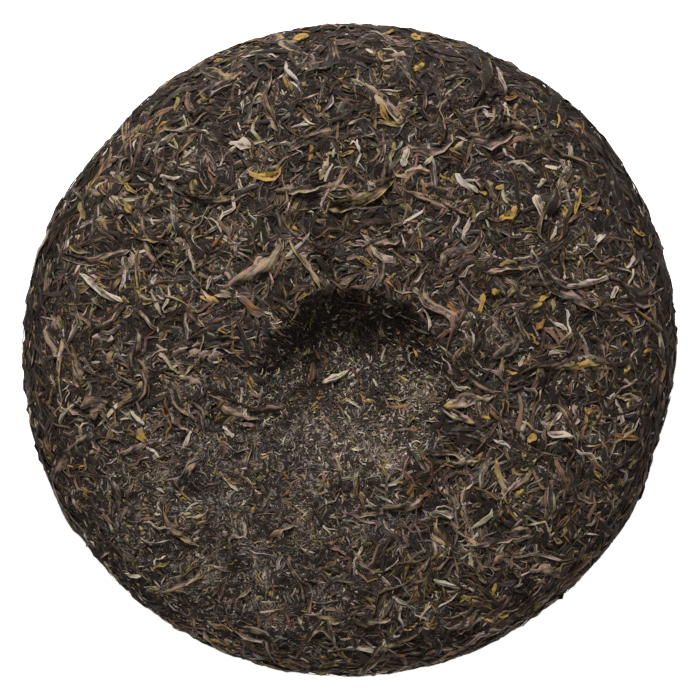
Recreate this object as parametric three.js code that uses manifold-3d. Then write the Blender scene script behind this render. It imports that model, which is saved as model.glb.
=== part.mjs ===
// A pressed tea cake of whole twisted leaves, lying with its dimpled back up.
// Millimetres, +Z up. The origin is the middle of the flat spot that the cake rests on, and +Y is the
// side of the dimple with the steep wall.
import * as THREE from "three";
import { mergeVertices } from "three/addons/utils/BufferGeometryUtils.js";
import Module from "manifold-3d";

// Half section of the core, from the middle of the domed front round the rim to the middle of the back.
// The front's middle stands above the rest plane by as much as the leaves pressed into it.
const CAKE_RADIUS = 97.5;
const CAKE_HEIGHT = 23;
const REST_RADIUS = 46;
const LEAF_STAND = 0.6;
const DOME_RADIUS = 90;
const DOME_RISE = 5.5;
const DOME_TURN_RADIUS = 74;
const RIM_HEIGHT = 12;
const SHOULDER_RADIUS = 86;
const SHOULDER_HEIGHT = 19.2;
const UPPER_RIM_TURN = 16.6;
const CREST_RADIUS = 44;

// The press knot's dimple in the back: a round mouth, steep on its +Y side and gentle on its -Y side.
const DIMPLE = { x: 1, y: -10.5, radius: 28, depth: 12.5, floorShift: 6, steep: 3.6, gentle: 1.7 };

// The outline is a little oval, with two flattened places and one bulge. Angles are in degrees from +X.
const OVAL = { share: 0.006, angle: 38 };
const OUTLINE_MARKS = [
  { angle: 140, width: 10, depth: -1.2 },
  { angle: 344, width: 9, depth: -1.5 },
  { angle: 45, width: 11, depth: 0.8 },
];

// Gentle waves that pressing leaves in both faces.
const SWELL_HEIGHT = 0.35;
const SWELL_LENGTHS = [34, 23, 17, 12];

// Core mesh: steps round the cake, and steps along each stretch of the half section.
const STEPS_ROUND = 48;
const FRONT_RINGS = [23, REST_RADIUS, 60, 75, 87];
const BACK_RINGS = [87, 77, 65, 53, 42.5, 37.5, 33, 29, 25, 21.5, 18, 14.5, 11, 7, 3.5];
const RIM_RADII = { low: 92, high: 93.5 };
const RIM_STEPS = 4;

// Leaves that show from a step away, fused to the core: one for each even share of a face.
const LEAVES = { back: 104, front: 74 };
const LEAF_LENGTH = [14, 26];
const LEAF_WIDTH = [2.6, 5];
const LEAF_RISE = [0.65, 1.1];
const LEAF_BEND = 1.5;
const LEAF_SINK = 0.35;
const LEAF_RINGS = [-0.34, -0.05, 0.26];

// Sections across a leaf, as [share of its half width, share of its rise]; 0 is the buried edge.
const RIDGED = [[1, 0], [0.15, 1], [-1, 0]];
const FLAT = [[1, 0], [0.7, 1], [-0.7, 1], [-1, 0]];

// A broad leaf pressed flat in the middle of the front, where the cake rests.
const MIDDLE_LEAF = {
  x: 0, y: 0, heading: 0.6, length: 26, halfWidth: 6, rise: 0.9, bend: 0.4, section: FLAT,
};
const GOLDEN_ANGLE = Math.PI * (3 - Math.sqrt(5));

const DARK_LEAF = { color: 0x3d332c, roughness: 0.78, metalness: 0 };

const mix = ([low, high], share) => low + (high - low) * share;
const radians = THREE.MathUtils.degToRad;

// An even spread of values from 0 to 1: the fractions of the multiples of an irrational root.
const share = (k, root) => (k * Math.sqrt(root)) % 1;

// The turning points of the rim's curves continue the straight run of the curve before them.
const domeSlope = (DOME_RISE - LEAF_STAND) / (DOME_RADIUS - DOME_TURN_RADIUS);
const lowerRimTurn = DOME_RISE + (CAKE_RADIUS - DOME_RADIUS) * domeSlope;
const shoulderSlope = (SHOULDER_HEIGHT - UPPER_RIM_TURN) / (CAKE_RADIUS - SHOULDER_RADIUS);
const crestTurn = SHOULDER_RADIUS - (CAKE_HEIGHT - SHOULDER_HEIGHT) / shoulderSlope;
const halfSection = new THREE.Path()
  .moveTo(0, LEAF_STAND)
  .lineTo(REST_RADIUS, LEAF_STAND)
  .quadraticCurveTo(DOME_TURN_RADIUS, LEAF_STAND, DOME_RADIUS, DOME_RISE)
  .quadraticCurveTo(CAKE_RADIUS, lowerRimTurn, CAKE_RADIUS, RIM_HEIGHT)
  .quadraticCurveTo(CAKE_RADIUS, UPPER_RIM_TURN, SHOULDER_RADIUS, SHOULDER_HEIGHT)
  .quadraticCurveTo(crestTurn, CAKE_HEIGHT, CREST_RADIUS, CAKE_HEIGHT)
  .lineTo(0, CAKE_HEIGHT);
const sectionLength = halfSection.getLength();

// How much further out the outline stands at an angle, in millimetres at the rim.
function outlineShift(angle) {
  let shift = CAKE_RADIUS * OVAL.share * Math.cos(2 * (angle - radians(OVAL.angle)));
  for (const mark of OUTLINE_MARKS) {
    const turn = angle - radians(mark.angle);
    const away = Math.atan2(Math.sin(turn), Math.cos(turn)) / radians(mark.width);
    shift += mark.depth * Math.exp(-away * away);
  }
  return shift;
}

function swell(x, y) {
  let height = 0;
  SWELL_LENGTHS.forEach((length, i) => {
    const heading = i * GOLDEN_ANGLE;
    const along = x * Math.cos(heading) + y * Math.sin(heading);
    height += Math.sin((2 * Math.PI * along) / length + 1.7 * i) / SWELL_LENGTHS.length;
  });
  return SWELL_HEIGHT * height;
}

// Depth of the dimple at a place: its deepest point lies off its middle, towards the steep wall, and the
// wall's power goes from steep to gentle round the mouth.
function dimpleDepth(x, y) {
  const dx = x - DIMPLE.x;
  const dy = y - DIMPLE.y - DIMPLE.floorShift;
  const away = Math.hypot(dx, dy);
  if (away < 1e-6) return DIMPLE.depth;
  const uy = dy / away;
  const across = DIMPLE.floorShift * uy;
  const reach = Math.sqrt(across * across + DIMPLE.radius ** 2 - DIMPLE.floorShift ** 2) - across;
  const t = away / reach;
  if (t > 1) return 0;
  const power = THREE.MathUtils.lerp(DIMPLE.gentle, DIMPLE.steep, (1 + uy) / 2);
  return DIMPLE.depth * (1 - t ** power) ** 1.25;
}

// Moves a point of the plain half section at an angle to its place on the real cake.
function settle(radius, height, angle) {
  const rimShare = (radius / CAKE_RADIUS) ** 4;
  const r = radius + outlineShift(angle) * rimShare;
  const x = r * Math.cos(angle);
  const y = r * Math.sin(angle);
  const back = height > RIM_HEIGHT;
  const restShare = THREE.MathUtils.smoothstep(radius, REST_RADIUS, REST_RADIUS + 14);
  const wave = swell(x, y) * (1 - rimShare) * (back ? 1 : restShare);
  return new THREE.Vector3(x, y, height + (back ? wave - dimpleDepth(x, y) : -wave));
}

// A face spread flat: a place's distance from the middle is its distance along the half section.
function onFace(face, x, y) {
  const along = Math.hypot(x, y) / sectionLength;
  const p = halfSection.getPoint(face === "back" ? 1 - along : along);
  return settle(p.x, p.y, Math.atan2(y, x));
}

function outward(face, x, y) {
  const step = 0.2;
  const ex = onFace(face, x + step, y).sub(onFace(face, x - step, y));
  const ey = onFace(face, x, y + step).sub(onFace(face, x, y - step));
  return ex.cross(ey).multiplyScalar(face === "back" ? 1 : -1).normalize();
}

// Rings of vertices with a point at each end, as one closed geometry.
function skin(rings, first, last) {
  const points = [first, ...rings.flat(), last];
  const size = rings[0].length;
  const index = [];
  for (let i = 0; i < size; i++) {
    const j = (i + 1) % size;
    index.push(0, 1 + j, 1 + i);
    for (let ring = 0; ring < rings.length - 1; ring++) {
      const a = 1 + ring * size;
      const b = a + size;
      index.push(a + i, a + j, b + j, a + i, b + j, b + i);
    }
    const end = 1 + (rings.length - 1) * size;
    index.push(end + i, end + j, points.length - 1);
  }
  return new THREE.BufferGeometry().setFromPoints(points).setIndex(index);
}

// The radii and heights of the core's rings, from the front's middle round the rim to the back's middle.
function coreRings() {
  const front = FRONT_RINGS.map((radius) => [radius, sectionHeight(radius, 0, 0.5)]);
  const rim = [];
  for (let i = 0; i <= RIM_STEPS; i++) {
    const low = alongAt(RIM_RADII.low, 0, 0.5);
    const high = alongAt(RIM_RADII.high, 1, 0.5);
    const p = halfSection.getPoint(low + ((high - low) * i) / RIM_STEPS);
    rim.push([p.x, p.y]);
  }
  const back = BACK_RINGS.map((radius) => [radius, sectionHeight(radius, 1, 0.5)]);
  return [...front, ...rim, ...back];
}

// Share along the half section where it reaches a radius, between a pole and the widest line.
function alongAt(radius, pole, widest) {
  let [inner, outer] = [pole, widest];
  for (let i = 0; i < 40; i++) {
    const middle = (inner + outer) / 2;
    if (halfSection.getPoint(middle).x < radius) inner = middle;
    else outer = middle;
  }
  return inner;
}

function sectionHeight(radius, pole, widest) {
  return halfSection.getPoint(alongAt(radius, pole, widest)).y;
}

function coreGeometry() {
  const rings = coreRings().map(([radius, height]) => {
    const ring = [];
    for (let i = 0; i < STEPS_ROUND; i++) ring.push(settle(radius, height, (2 * Math.PI * i) / STEPS_ROUND));
    return ring;
  });
  return skin(rings, settle(0, 0, 0), settle(0, CAKE_HEIGHT, 0));
}

// The place, turn and size of one of the leaves spread over a face.
function leafAt(face, k) {
  const n = k + (face === "back" ? 0 : 0.5);
  const reach = (sectionLength / 2) * Math.sqrt((k + 0.5) / LEAVES[face]);
  return {
    x: reach * Math.cos(n * GOLDEN_ANGLE),
    y: reach * Math.sin(n * GOLDEN_ANGLE),
    heading: 2 * Math.PI * share(n, 2),
    length: mix(LEAF_LENGTH, share(n, 3)),
    halfWidth: mix(LEAF_WIDTH, share(n, 5)) / 2,
    rise: mix(LEAF_RISE, share(n, 7)),
    bend: LEAF_BEND * (2 * share(n, 11) - 1),
    section: RIDGED,
  };
}

// One leaf: a curved blade with a crown along it and its flat base just under the surface.
function leafGeometry(face, leaf) {
  const onLeaf = (t, aside, height) => {
    const chord = leaf.heading + (leaf.bend * t) / 2;
    const tangent = leaf.heading + leaf.bend * t;
    const x = leaf.x + leaf.length * t * Math.cos(chord) - aside * Math.sin(tangent);
    const y = leaf.y + leaf.length * t * Math.sin(chord) + aside * Math.cos(tangent);
    return onFace(face, x, y).addScaledVector(outward(face, x, y), height);
  };
  const rings = LEAF_RINGS.map((t) => {
    const full = Math.sqrt(1 - 4 * t * t);
    const ring = leaf.section.map(([aside, rise]) =>
      onLeaf(t, leaf.halfWidth * full * aside, rise ? leaf.rise * full * rise : -LEAF_SINK),
    );
    return face === "back" ? ring : ring.reverse();
  });
  return skin(rings, onLeaf(-0.5, 0, -LEAF_SINK), onLeaf(0.5, 0, -LEAF_SINK));
}

// Only fine bits lie in the dimple, and the front's middle belongs to the broad leaf there.
function hasRoom(face, leaf) {
  if (face === "back") return Math.hypot(leaf.x - DIMPLE.x, leaf.y - DIMPLE.y) > DIMPLE.radius;
  return Math.hypot(leaf.x, leaf.y) > MIDDLE_LEAF.length / 2;
}

function leafGeometries() {
  const made = [leafGeometry("front", MIDDLE_LEAF)];
  for (const face of Object.keys(LEAVES)) {
    for (let k = 0; k < LEAVES[face]; k++) {
      const leaf = leafAt(face, k);
      if (hasRoom(face, leaf)) made.push(leafGeometry(face, leaf));
    }
  }
  return made;
}

const wasm = await Module();
wasm.setup();

function toSolid(geometry) {
  const bare = new THREE.BufferGeometry().setAttribute("position", geometry.getAttribute("position"));
  const merged = mergeVertices(bare.setIndex(geometry.index), 1e-4);
  const solid = new wasm.Manifold(
    new wasm.Mesh({
      numProp: 3,
      vertProperties: new Float32Array(merged.getAttribute("position").array),
      triVerts: new Uint32Array(merged.index.array),
    }),
  );
  return solid;
}

function toGeometry(solid) {
  const mesh = solid.getMesh();
  const made = new THREE.BufferGeometry();
  made.setAttribute("position", new THREE.BufferAttribute(mesh.vertProperties, 3));
  made.setIndex(new THREE.BufferAttribute(mesh.triVerts, 1));
  made.computeVertexNormals();
  return made;
}

// Everything below the rest plane, which presses the front's leaves flat.
function belowRest() {
  const size = 3 * CAKE_RADIUS;
  return new THREE.BoxGeometry(size, size, size).translate(0, 0, -size / 2);
}

function teaCake() {
  let solid = toSolid(coreGeometry());
  for (const leaf of leafGeometries()) solid = solid.add(toSolid(leaf));
  solid = solid.subtract(toSolid(belowRest()));
  const mesh = new THREE.Mesh(toGeometry(solid), new THREE.MeshStandardMaterial(DARK_LEAF));
  mesh.name = "tea_cake";
  return mesh;
}

const cake = new THREE.Group();
cake.add(teaCake());

export default cake;
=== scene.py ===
"""A pressed cake of whole pu erh tea leaves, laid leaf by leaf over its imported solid.

Metres, +Z up. The cake lies on its domed front with its dimpled back up. The origin is the middle of the
spot that it rests on, and +Y is the side of the dimple with the steep wall.
"""

import math
from typing import NamedTuple

import bpy
import numpy as np
from bpy.props import FloatProperty, FloatVectorProperty, IntProperty, PointerProperty
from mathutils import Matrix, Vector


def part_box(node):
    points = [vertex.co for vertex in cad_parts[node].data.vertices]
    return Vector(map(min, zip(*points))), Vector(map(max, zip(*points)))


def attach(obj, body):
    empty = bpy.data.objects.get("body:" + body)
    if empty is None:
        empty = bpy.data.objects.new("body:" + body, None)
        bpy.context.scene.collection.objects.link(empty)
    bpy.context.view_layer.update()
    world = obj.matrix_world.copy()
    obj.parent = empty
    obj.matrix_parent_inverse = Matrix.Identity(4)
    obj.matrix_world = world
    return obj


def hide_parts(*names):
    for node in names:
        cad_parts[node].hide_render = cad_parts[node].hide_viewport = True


bl_info = {
    "name": "Pressed Tea Cake",
    "version": (1, 0, 0),
    "blender": (4, 5, 0),
    "location": "View3D > Sidebar > Tea Cake",
    "description": "Lays a pressed cake of whole tea leaves over its packed solid",
    "category": "Add Mesh",
}

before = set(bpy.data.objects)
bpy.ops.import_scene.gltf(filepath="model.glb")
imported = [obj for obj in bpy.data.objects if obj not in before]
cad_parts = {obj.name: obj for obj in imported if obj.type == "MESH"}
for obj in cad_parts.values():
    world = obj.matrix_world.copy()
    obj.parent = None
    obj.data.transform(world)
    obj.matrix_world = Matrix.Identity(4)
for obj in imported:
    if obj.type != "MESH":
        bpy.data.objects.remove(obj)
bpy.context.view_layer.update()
NODE = "tea_cake"
BODY = "root"

MM = 0.001
NODE_LOW, NODE_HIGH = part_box(NODE)
CAKE_RADIUS = (NODE_HIGH.x - NODE_LOW.x) / 2

# Half section of the bare cake, from the middle of the domed front round the rim to the middle of the
# back, as in the solid. Its front stands off the table by as much as the leaves pressed into it.
LEAF_STAND = 0.6 * MM
DOME_RADIUS = 90 * MM
DOME_RISE = 5.5 * MM
DOME_TURN_RADIUS = 74 * MM
RIM_HEIGHT = 12 * MM
SHOULDER_RADIUS = 86 * MM
SHOULDER_HEIGHT = 19.2 * MM
UPPER_RIM_TURN = 16.6 * MM
CREST_RADIUS = 44 * MM
SECTION_STEPS = 160

# The dimple's deepest point lies off its middle, and its wall goes from gentle to steep round its mouth.
DIMPLE_SHIFT = 6 * MM
DIMPLE_STEEP = 3.6
DIMPLE_GENTLE = 1.7
DIMPLE_LIP = 1.25

# The outline is a little oval, with two flattened places and one bulge: angle, width, depth.
OVAL_SHARE = 0.006
OVAL_ANGLE = math.radians(38)
OUTLINE_MARKS = ((140, 10, -1.2 * MM), (344, 9, -1.5 * MM), (45, 11, 0.8 * MM))

# Gentle waves that pressing leaves in both faces. On the front they fade out towards the flat middle.
SWELL_HEIGHT = 0.35 * MM
SWELL_LENGTHS = (34 * MM, 23 * MM, 17 * MM, 12 * MM)
SWELL_FADE = 14 * MM

# The big leaves of the solid: one for each even share of a face.
PRESSED_LEAVES = {"back": 104, "front": 74}
PRESSED_LENGTH = (14 * MM, 26 * MM)
PRESSED_WIDTH = (2.6 * MM, 5 * MM)
PRESSED_LIFT = (0.195 * MM, 0.33 * MM)
PRESSED_THICKNESS = 0.35 * MM
PRESSED_BEND = 1.5
PRESSED_TONE = (-0.2, 0.4)
PRESSED_DIP = 0.6 * MM
PRESSED_TWIST = 0.7
PRESSED_RINGS = 12
PRESSED_HALF_SIDES = 5
MIDDLE_LEAF = {
    "heading": 0.6, "length": 26 * MM, "width": 12 * MM, "bend": 0.4, "lift": 0.45 * MM, "tone": 0.4,
}

GOLDEN_ANGLE = math.pi * (3 - math.sqrt(5))
FIRST_DRAW = 357

# Half the steps that tell which way the surface faces and how far it is stretched.
NORMAL_STEP = 0.2 * MM
STRETCH_STEP = 1 * MM

# Where a face turns into the rim and how soon it has, as shares of the way from the face's middle. Leaves
# there are pressed in further and lie flatter. Those near the table are squeezed.
RIM_START = 0.84
RIM_SPAN = 0.1
RIM_PRESS = 0.95 * MM
RIM_FLATTEN = 0.75
SQUEEZE = 0.4 * MM

# Some leaves follow a slow drift over the face, with a swing in turns, and those by the rim lie along it.
DRIFT_LENGTH = 45 * MM
DRIFT_SWING = 0.35
BUNDLED_SHARE = 0.35
BUNDLED_SPREAD = 0.35
ALONG_RIM_START = 0.8
ALONG_RIM_SPAN = 0.14
ALONG_RIM_SPREAD = 0.3

# The leaves heap up a little here and there, and are paler here and there.
HEAP_HEIGHT = 0.35 * MM
HEAP_LENGTH = 9 * MM
HEAP_DRAW = FIRST_DRAW + 32
PATCH_TONE = 0.16
PATCH_LENGTH = 15 * MM
PATCH_DRAW = FIRST_DRAW + 31

# Tone over a face, with u and v as X and Y in shares of the way to its edge: weights of 1, v * v and u. A
# darker band has its place in v, its half width and its depth. The rim is darker by weights of 1, u * u,
# u * v, u and v, as painted shade where it curves down, and the dimple by weights of 1, u and v, there in
# shares of its own radius, as painted shadow that is deepest under its steep wall.
FACE_TONE = (-0.05, 0.14, -0.05)
BAND = {"place": 0.74, "width": 0.13, "depth": 0.2}
RIM_PAINTED_SHADE = (0.18, 0.55, 0.2, 0.08, 0.17)
DIMPLE_PAINTED_SHADOW = (0.17, -0.1, 0.3)

# How much lighter a leaf is painted on its ridges than in its grooves, as painted highlight and painted
# shade, how much its tone drifts along it, and how many of the leaves are paler than the rest, and by how
# much.
RIDGE_PAINTED_LIGHT = 1.4
TONE_DRIFT = 0.35
PALE_SHARE = 0.13
PALE_TONE = 0.95

# A drawn share raised to these powers makes short leaves and dark ones the commoner.
SHORT_POWER = 1.5
DARK_POWER = 1.4

# A leaf's outline: the powers its ends are drawn from, pointed to blunt, for rolled and for flat leaves, the
# power of its whole girth, how much fuller one end may be, and how uneven the girth is.
ROLLED_ENDS = (1.8, 5)
FLAT_ENDS = (1.6, 4.5)
GIRTH_POWER = 0.65
FULLER_END = 0.35
UNEVENNESS = 0.2

# A rolled leaf's grooves in shares of its ridges, and the share between them that has the leaf's own tone.
# Above it a ridge gets painted highlight, below it a groove gets painted shade.
GROOVE = 0.6
MIDWAY = 0.8

# How steeply a flat leaf folds and crumples, its slow and quick waves in radians along it, the quick ones'
# share of the slow ones, and its thickness at the edge in shares of that in the middle.
FOLD = 0.5
CRUMPLE = 0.4
SLOW_WAVES = (4, 11)
QUICK_WAVES = (13, 24)
QUICK_SHARE = 0.7
THIN_EDGE = 0.35

# Where the leaves are broken finer: the lower left of the back, beside the dimple's gentle side. They are
# shorter, thinner and paler there, and are sunk for each millimetre of their width, up to the second.
FINE_PATCH = {"x": -36 * MM, "y": -50 * MM, "radius": 43 * MM}
FINE_SHORTER = 0.35
FINE_THINNER = 0.3
FINE_TONE = 0.21
FINE_SINK = 0.25 * MM

# The back is finely matted in the dimple, from a little inside its mouth, and by less in the finer patch.
# Loose fine leaf fills the dimple nearly to its mouth.
MOUTH_FADE = 0.15
FINE_MATTING = 0.6
DIMPLE_FILL = 0.97

# The bed between the leaves: its steps round, each face's first ring, ring spacing and draw, its two sizes
# of bump as heights and lengths, how far it is sunk, its lowest height and its tone. Where it is matted it
# is flatter, less sunk and paler.
BED_AROUND = 320
BED_RINGS = {"front": (2 * MM, 2.5 * MM, 5), "back": (1 * MM, 1.1 * MM, 4)}
BED_BUMPS = ((0.26 * MM, 2.8 * MM), (0.2 * MM, 6 * MM))
BED_SINK = 0.16 * MM
BED_RIM_SINK = 1.05 * RIM_PRESS
BED_LOWEST = 0.05 * MM
BED_TONE = 0.32
MATTED_FLATTEN = 0.4
MATTED_RAISE = 0.04 * MM
MATTED_TONE = 0.18

# What the materials read, how far apart the starts of leaves in the strand map may lie, and how much of its
# cell in the bake map each leaf keeps free at each side.
STRAND_MAP = "strand"
BAKE_MAP = "OFBake"
# The tone holds each leaf's own tone together with its painted highlights and painted shade.
TONE = "tone"
WARMTH = "warmth"
STRAND_SPREAD = 900
CELL_MARGIN = 0.08

# Casts of the leaf's colours, the noise cells in a metre of its blotches, patches and mossy places, and
# the fold past which an edge is shaded as a crease.
BLACK = (0, 0, 0)
COOL_CAST = (0.91, 1.0, 1.13)
PLUM_CAST = (1.04, 0.93, 1.04)
MOSS_CAST = (0.99, 1.05, 0.87)
BLOTCH_SCALE = 420
PATCH_SCALE = 240
MOSS_SCALE = 330
SHARP_FOLD = math.radians(52)

# A dried leaf's shade: the weight of its tone, and its level. Then where it is warm, cool or mossy: from
# where on, how much patches sway that, and how steeply it sets in.
TONE_WEIGHT = 0.55
SHADE_LEVEL = 0.225
WARM_PATCHES = 2.4
WARM_STEEPNESS = 4.0
COOL_UNDER = 0.35
COOL_PATCHES = 2.0
COOL_STEEPNESS = 3.0
MOSS_FROM = 0.38
MOSS_STEEPNESS = 4.2
LEAF_RELIEF = 0.3 * MM
LEAF_SHEEN = 0.16

# The bed's pattern, in noise cells to a metre: its two ways of strands, the noise that bends them by up to
# a share of a metre, its blotches and its cooler places.
BED_STRANDS = ((260, 1300, 900), (1300, 290, 900))
BED_BEND_SCALE = 110
BED_BEND = (0.02, 0.02, 0.02)
BED_BLOTCH_SCALE = 150
BED_COOL_SCALE = 55
BED_RELIEF = 0.5 * MM
BED_SHEEN = 0.15

# The stage: half the floor's width and its own glow, the key light, the light from all sides, and the width
# of the camera's sensor in millimetres.
FLOOR_REACH = 3
FLOOR_GLOW = 0.8
KEY_DISTANCE = 1.1
KEY_SIZE = 0.24
KEY_COLOUR = (1.0, 0.99, 0.985)
FILL_COLOUR = (1.0, 0.98, 0.95, 1)
SENSOR_WIDTH = 36


def tint(red, green, blue):
    """An sRGB colour out of 255 as linear light."""
    share = np.array([red, green, blue]) / 255
    linear = np.where(share > 0.04045, ((share + 0.055) / 1.055) ** 2.4, share / 12.92)
    return tuple(float(part) for part in linear)


def length_property(label, told, value):
    """A length in metres that a user can change."""
    return FloatProperty(name=label, description=told, default=value, unit="LENGTH")


def count_property(label, told, value):
    """A number of leaves that a user can change."""
    return IntProperty(name=label, description=told, default=value, min=0)


def colour_property(label, told, value):
    """A colour that a user can change."""
    return FloatVectorProperty(
        name=label, description=told, default=value, subtype="COLOR", size=3, min=0, max=1
    )


class CakeForm(bpy.types.PropertyGroup):
    """Sizes of the bare cake."""

    radius: length_property("Radius", "From the middle to the rim", CAKE_RADIUS)
    height: length_property("Height", "Of the back above the table", 23 * MM)
    rest_radius: length_property("Rest radius", "Of the flat middle of the front", 46 * MM)
    dimple_radius: length_property("Dimple radius", "Of the dimple's mouth", 28 * MM)
    dimple_depth: length_property("Dimple depth", "Of its deepest point", 12.5 * MM)
    dimple_x: length_property("Dimple X", "Middle of the mouth", 1 * MM)
    dimple_y: length_property("Dimple Y", "Middle of the mouth", -10.5 * MM)


class LeafMix(bpy.types.PropertyGroup):
    """How many leaves of each kind lie on the cake's back; its front has a share of that. The dimple and
    the finer patch have more of the smallest kinds."""

    long_rolled: count_property("Long rolled leaves", "Dark twisted leaves", 900)
    short_rolled: count_property("Short rolled leaves", "Dark twisted pieces", 2000)
    grey: count_property("Grey leaves", "Leaves with a grey bloom", 1100)
    broad: count_property("Broad leaves", "Flat crumpled leaves", 150)
    buds: count_property("Pale buds", "Downy buds", 240)
    flakes: count_property("Golden flakes", "Yellow and olive flakes", 450)
    stems: count_property("Stems", "Rust-brown stems", 400)
    shreds: count_property("Shreds", "Thin torn strips", 2900)
    fines: count_property("Fine shreds", "Over the whole back", 1100)
    dimple_fines: count_property("Fine shreds in the dimple", "Besides those of the back", 3000)
    patch_fines: count_property("Fine shreds in the patch", "Besides those of the back", 2200)
    crumbs: count_property("Crumbs", "Over the whole back", 900)
    dimple_crumbs: count_property("Crumbs in the dimple", "Besides those of the back", 1400)
    patch_crumbs: count_property("Crumbs in the patch", "Besides those of the back", 900)
    front_share: FloatProperty(
        name="Front share", description="Leaves on the front for one on the back", default=0.55,
        min=0, max=1, subtype="FACTOR",
    )


class LeafColours(bpy.types.PropertyGroup):
    """The lightest and darkest colour of each kind of leaf."""

    dark: colour_property("Dark leaf", "Shaded side of a dark leaf", tint(40, 32, 26))
    brown: colour_property("Brown leaf", "Lit side of a dark leaf", tint(88, 67, 53))
    ash: colour_property("Ash", "Dark side of a grey leaf", tint(58, 50, 45))
    bloom: colour_property("Bloom", "Light side of a grey leaf", tint(132, 120, 107))
    khaki: colour_property("Khaki", "Light side of a leaf with a yellow cast", tint(112, 98, 65))
    bud_shade: colour_property("Bud shade", "Dark side of a bud", tint(86, 73, 62))
    bud: colour_property("Bud", "Light side of a bud", tint(170, 158, 144))
    olive: colour_property("Olive", "Dark side of a flake", tint(62, 49, 33))
    gold: colour_property("Gold", "Light side of a flake", tint(144, 117, 60))
    rust: colour_property("Rust", "Dark side of a stem", tint(62, 42, 28))
    tan: colour_property("Tan", "Light side of a stem", tint(132, 94, 55))


class Studio(bpy.types.PropertyGroup):
    """Camera, lights and floor."""

    lens: FloatProperty(name="Lens", description="Focal length in millimetres", default=100, min=1)
    view_width: length_property("View width", "Seen across the cake's rim", 0.2075)
    key_power: FloatProperty(name="Key power", description="Of the key light", default=16.0, unit="POWER")
    key_height: FloatProperty(
        name="Key height", description="Angle above the table", default=math.radians(38), unit="ROTATION"
    )
    key_turn: FloatProperty(
        name="Key turn", description="Angle from +Y, seen from above", default=math.radians(-10),
        unit="ROTATION",
    )
    fill: FloatProperty(name="Fill", description="Strength of the light from all sides", default=0.365)
    floor: colour_property("Floor", "Colour of the floor", (0.86, 0.86, 0.86))


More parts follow.
